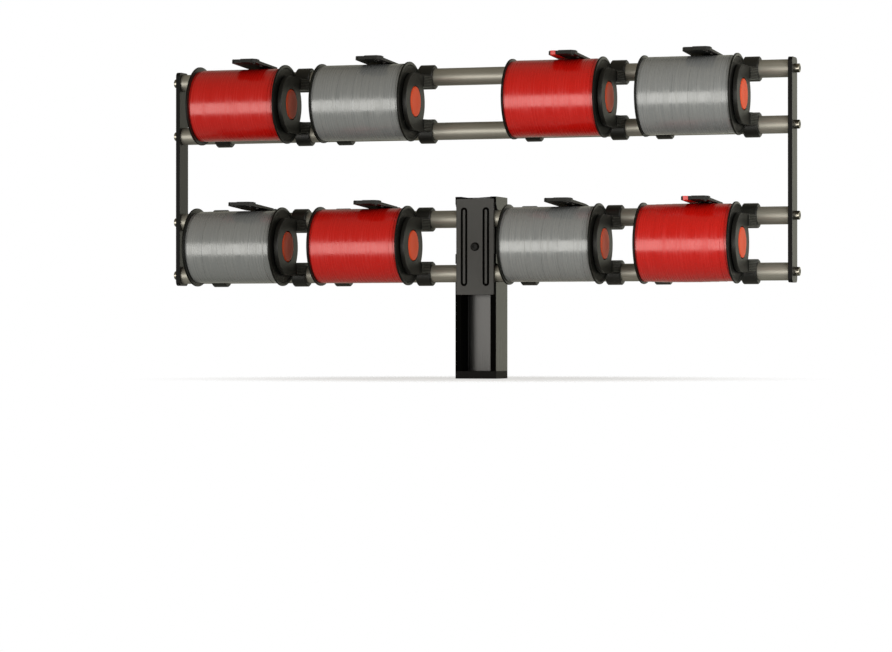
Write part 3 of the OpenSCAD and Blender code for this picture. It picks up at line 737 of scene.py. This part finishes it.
holderRounds = {"holder": 0.55 * mm, "cutter": 0.4 * mm}
ribSet = {
    "radius": 0.55 * mm, "length": 15.0 * mm, "pitch": 1.75 * mm, "count": 7, "sides": 12, "endSteps": 3,
    # The arm's front, as (x, y) off the middle of the spool and of the tubes, and the ribs' place on it
    "from": (0.0595, -0.0278), "to": (0.06525, -0.0111), "along": 0.55, "lowest": 19.6 * mm,
}


def ribPattern():
    # One rib along +X with rounded ends
    radius, steps = ribSet["radius"], ribSet["endSteps"]
    half = ribSet["length"] / 2 - radius
    angles = [math.pi / 2 * i / steps for i in range(steps + 1)]
    outline = [(half + radius * math.cos(a), radius * math.sin(a)) for a in angles]
    outline += [(-x, r) for x, r in reversed(outline)]
    return lathed("gripRib", outline, (0, 0, 0), ribSet["sides"])


def armRibs(name, tree, label):
    spool = middleOf("spool_" + label)
    middle = Vector((spool.x, middleOf(tubes[0]).y, spool.z))
    near, far = Vector((*ribSet["from"], 0.0)), Vector((*ribSet["to"], 0.0))
    place, way = near.lerp(far, ribSet["along"]), far - near
    spots = []
    for i in range(ribSet["count"]):
        z = ribSet["lowest"] + i * ribSet["pitch"]
        spots += [middle + place + Vector((0, 0, z)), middle + place - Vector((0, 0, z))]
    # The ribs carry the grey grip finish: painted light on the arms
    piece = onPoints(name, tree, ribPattern(), spots, {
        "Turn": (0, 0, math.atan2(way.y, way.x)), "Spin": 0.0, "Seed": 1, "Material": finishes["ribs"]})
    for face in piece.data.polygons:
        face.material_index = 1
    return piece


def holders(tree):
    for label in labels:
        body = softened("holder_" + label + "_body", "holder_" + label, holderRounds["holder"])
        body.data.materials.append(finishes["moulding"])
        body.data.materials.append(finishes["ribs"])   # for the ribs that join it
        ribs = armRibs("ribs_" + label, tree, label)
        holder = joinedPiece("holder_" + label + "_moulded", [body, ribs])
        finished(holder, None, fixedBody, ["holder_" + label])
        cutter = softened("cutter_" + label + "_moulded", "cutter_" + label, holderRounds["cutter"])
        finished(cutter, finishes["cutter"], fixedBody, ["cutter_" + label])


# Ribbon ends that stand in two of the cutters' notches

endSet = {"thickness": 0.25 * mm, "back": 0.5 * mm, "foot": 0.4 * mm, "front": 0.3 * mm,
          "standing": 6.5 * mm, "below": 1.3 * mm, "bend": 1.6 * mm, "steps": 8, "pinch": 0.4}


def ribbonEnd(node):
    low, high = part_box(node)
    s = endSet
    # Off the winding in a straight line, then round a bend and straight up through the notch
    start = Vector((high.y - s["back"], low.z + s["foot"]))
    tip = Vector((low.y + s["front"], high.z - s["below"]))
    bend = Vector((tip.x, high.z - s["standing"]))
    into, out = bend + (start - bend).normalized() * s["bend"], bend + Vector((0, s["bend"]))
    path = [start, into]
    path += [rounding(into, bend, out, i / s["steps"]) for i in range(1, s["steps"])]
    path += [out, tip]
    points, faces = [], []
    for i, p in enumerate(path):
        ahead = path[min(i + 1, len(path) - 1)] - path[max(i - 1, 0)]
        side = Vector((-ahead.y, ahead.x)).normalized() * s["thickness"] / 2
        # The film folds in on itself towards its end, against the left side of the notch
        right = high.x - (high.x - low.x) * s["pinch"] * min(1, i / (s["steps"] - 1))
        for x, q in ((low.x, p + side), (right, p + side), (right, p - side), (low.x, p - side)):
            points.append((x, q.x, min(q.y, high.z)))
    for i in range(len(path) - 1):
        for k in range(4):
            a, b = i * 4 + k, i * 4 + (k + 1) % 4
            faces.append((a, b, b + 4, a + 4))
    faces += [(3, 2, 1, 0), tuple(len(points) - 4 + k for k in range(4))]
    piece = meshFrom(node + "_film", points, faces, smoothAngle=40)
    finished(piece, finishes["red"], fixedBody, [node])


# Studio: a soft box at the front left, a light and a card at the right, and a dim room with a bright
# backdrop that only reflections show. Behind the object the camera sees plain white

studio = {
    "above": "#948c7b", "below": "#99998f", "roomHeights": (-0.3, 0.8),
    # The backdrop's brightness by how far a reflection looks along +Y, and where the backdrop begins
    "backdrop": ((0.5, 0.0), (0.75, 0.33), (0.94, 0.36), (0.985, 1.2)),
    "backdropTint": (1.0, 0.99, 0.82), "backdropEdge": (0.45, 0.6),
    "lamps": {
        "softBox": {"from": (-0.818, -2.445, -0.36), "size": (2.2, 1.45),
                    "radiance": 4.6, "colour": "#fffbf5"},
        "sideLight": {"from": (1.0, -0.75, 0.15), "size": (1.1, 1.1),
                      "radiance": 3.6, "colour": "#fffdfa"},
        "armCard": {"from": (1.35, 0.85, 0.05), "size": (0.5, 1.0),
                    "radiance": 1.7, "colour": "#fffdfa"},
    },
}
floorSet = {"size": 3.0, "rings": 24, "spokes": 64, "spread": 1.5, "level": -0.3 * mm,
            "fade": (0.12, 0.42), "colour": "#e9e9e6", "glow": 0.6}
eye = {"place": (1.2206, -3.7838, 0.0400), "yaw": 0.32223, "pitch": 0.00499,
       "lens": 140.75, "sensor": 36.0, "reach": 50.0}


def studioWorld():
    world = bpy.data.worlds.new("paleStudio")
    bpy.context.scene.world = world
    world.use_nodes = True
    tree = world.node_tree
    tree.nodes.clear()
    rays = addNode(tree, "ShaderNodeLightPath", {}, {}).outputs
    way = addNode(tree, "ShaderNodeTexCoord", {}, {}).outputs["Generated"]
    split = addNode(tree, "ShaderNodeSeparateXYZ", {}, {0: way})
    height = addNode(tree, "ShaderNodeMapRange", {"interpolation_type": "SMOOTHSTEP"}, {
        "Value": split.outputs["Z"], "From Min": studio["roomHeights"][0],
        "From Max": studio["roomHeights"][1]})
    room = addNode(tree, "ShaderNodeMix", {"data_type": "RGBA"}, {
        0: height.outputs[0], 6: hexColour(studio["below"]), 7: hexColour(studio["above"])})
    behind = addNode(tree, "ShaderNodeMapRange", {}, {
        "Value": split.outputs["Y"], "From Min": studio["backdropEdge"][0],
        "From Max": studio["backdropEdge"][1]})
    backdrop = addNode(tree, "ShaderNodeValToRGB", {}, {"Fac": split.outputs["Y"]})
    stops = backdrop.color_ramp.elements
    for i, (place, shade) in enumerate(studio["backdrop"]):
        stop = stops[i] if i < 2 else stops.new(place)
        stop.position, stop.color = place, (*(shade * tint for tint in studio["backdropTint"]), 1)
    shown = reckoned(tree, "MULTIPLY", rays["Is Glossy Ray"], behind.outputs[0])
    reflected = addNode(tree, "ShaderNodeMix", {"data_type": "RGBA"}, {
        0: shown, 6: room.outputs[2], 7: backdrop.outputs["Color"]})
    colour = addNode(tree, "ShaderNodeMix", {"data_type": "RGBA"}, {
        0: rays["Is Camera Ray"], 6: reflected.outputs[2], 7: white})
    light = addNode(tree, "ShaderNodeBackground", {}, {"Color": colour.outputs[2]})
    addNode(tree, "ShaderNodeOutputWorld", {}, {0: light.outputs[0]})


def lamps():
    middle = (cadBox[0] + cadBox[1]) / 2
    for name, look in studio["lamps"].items():
        lamp = bpy.data.lights.new(name, "AREA")
        lamp.shape = "RECTANGLE"
        lamp.size, lamp.size_y = look["size"]
        lamp.energy = look["radiance"] * math.pi * lamp.size * lamp.size_y
        lamp.color = hexColour(look["colour"])[:3]
        box = linkObject(name, lamp)
        box.location = middle + Vector(look["from"])
        box.visible_camera = False
        box.rotation_euler = (middle - box.location).to_track_quat("-Z", "Y").to_euler()


def floor():
    # A round table top just under the foot, which fades out and looks almost white to the camera
    s = floorSet
    points, faces = [(0, 0, s["level"])], []
    for i in range(s["rings"]):
        r = s["size"] / 2 * ((i + 1) / s["rings"]) ** s["spread"]
        for k in range(s["spokes"]):
            a = 2 * math.pi * k / s["spokes"]
            points.append((r * math.cos(a), r * math.sin(a), s["level"]))
    for k in range(s["spokes"]):
        t = (k + 1) % s["spokes"]
        faces.append((0, 1 + k, 1 + t))
        for i in range(s["rings"] - 1):
            a, b = 1 + i * s["spokes"], 1 + (i + 1) * s["spokes"]
            faces.append((a + k, b + k, b + t, a + t))
    ground = linkObject("paleFloor", bpy.data.meshes.new("paleFloor"))
    ground.data.from_pydata(points, [], faces)
    material = bpy.data.materials.new("whiteTableTop")
    material.use_nodes = True
    tree = material.node_tree
    tree.nodes.clear()
    rays = addNode(tree, "ShaderNodeLightPath", {}, {}).outputs
    place = addNode(tree, "ShaderNodeTexCoord", {}, {}).outputs["Object"]
    reach = addNode(tree, "ShaderNodeVectorMath", {"operation": "LENGTH"}, {0: place})
    fade = addNode(tree, "ShaderNodeMapRange", {"interpolation_type": "SMOOTHSTEP"}, {
        "Value": reach.outputs["Value"], "From Min": s["fade"][0], "From Max": s["fade"][1]})
    paint = addNode(tree, "ShaderNodeBsdfDiffuse", {}, {"Color": hexColour(s["colour"])})
    glow = addNode(tree, "ShaderNodeEmission", {}, {"Color": white})
    share = reckoned(tree, "MULTIPLY", rays["Is Camera Ray"], s["glow"])
    lit = addNode(tree, "ShaderNodeMixShader", {}, {0: share, 1: paint.outputs[0], 2: glow.outputs[0]})
    clear = addNode(tree, "ShaderNodeBsdfTransparent", {}, {})
    ends = addNode(tree, "ShaderNodeMixShader", {}, {
        0: fade.outputs[0], 1: lit.outputs[0], 2: clear.outputs[0]})
    addNode(tree, "ShaderNodeOutputMaterial", {}, {0: ends.outputs[0]})
    ground.data.materials.append(material)


def camera():
    lens = bpy.data.cameras.new("photoCamera")
    lens.sensor_width = eye["sensor"]
    lens.lens = eye["lens"]
    lens.clip_end = eye["reach"]
    body = linkObject("photoCamera", lens)
    body.location = eye["place"]
    body.rotation_euler = (math.pi / 2 + eye["pitch"], 0.0, eye["yaw"])
    bpy.context.scene.camera = body


bpy.context.scene.view_settings.view_transform = "Standard"
camera()
studioWorld()
lamps()
floor()
print("studio made")

winding = ribbonTree()
for number, label in enumerate(labels):
    woundRibbon(winding, label, number)
    spoolBody(label)
    pushButton(label)
print("spools, ribbons and buttons made")

patterns = patternTree()
holders(patterns)
framePieces()
allScrews(patterns)
carriedOver()
ribbonEnd("ribbon_end_top_3")
ribbonEnd("ribbon_end_bottom_4")
print("rack made")
